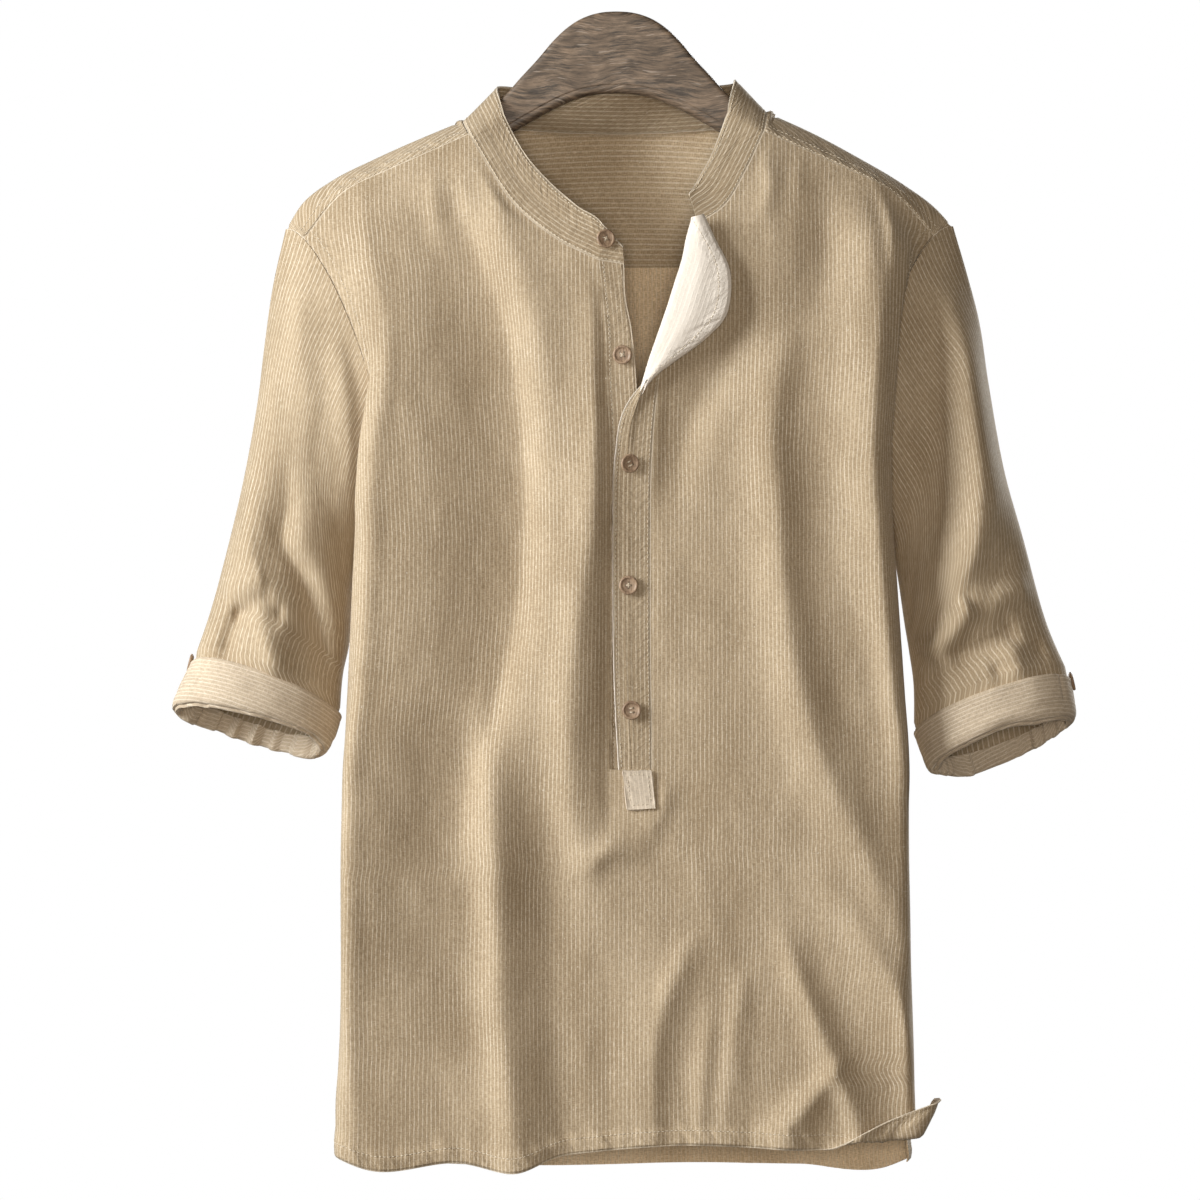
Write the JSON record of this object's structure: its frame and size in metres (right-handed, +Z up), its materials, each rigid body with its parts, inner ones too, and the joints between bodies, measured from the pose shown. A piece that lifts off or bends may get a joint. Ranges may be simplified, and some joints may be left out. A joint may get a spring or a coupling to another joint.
{
  "type": "henley shirt on a wooden hanger",
  "caption": "Loose half-sleeve henley shirt with a band collar, buttoned half placket, rolled cuffs and side vents, hanging on a flat wooden hanger.",
  "frame": {"origin": "top of the hanger's crown, where the part is held up", "axes": "+X to the picture's right, +Y away from the viewer towards the shirt's back, +Z up"},
  "size_m": [0.6117, 0.1081, 0.7909],
  "materials": {
    "cloth": "slubby linen weave, tan with pale pinstripes",
    "button": "satin brown, four holes",
    "wood": "weathered grey-brown, matt"
  },
  "bodies": {
    "root": {"front": "cloth", "back": "cloth", "yoke": "cloth", "sleeve_left": "cloth", "sleeve_right": "cloth", "cuff_left": "cloth", "cuff_right": "cloth", "collar_band": "cloth", "under_placket": "cloth", "over_placket": "cloth", "placket_box": "cloth", "button_band": "button", "button_1": "button", "button_2": "button", "button_3": "button", "button_4": "button", "button_cuff_left": "button", "button_cuff_right": "button", "hanger": "wood"}
  },
  "joints": []
}
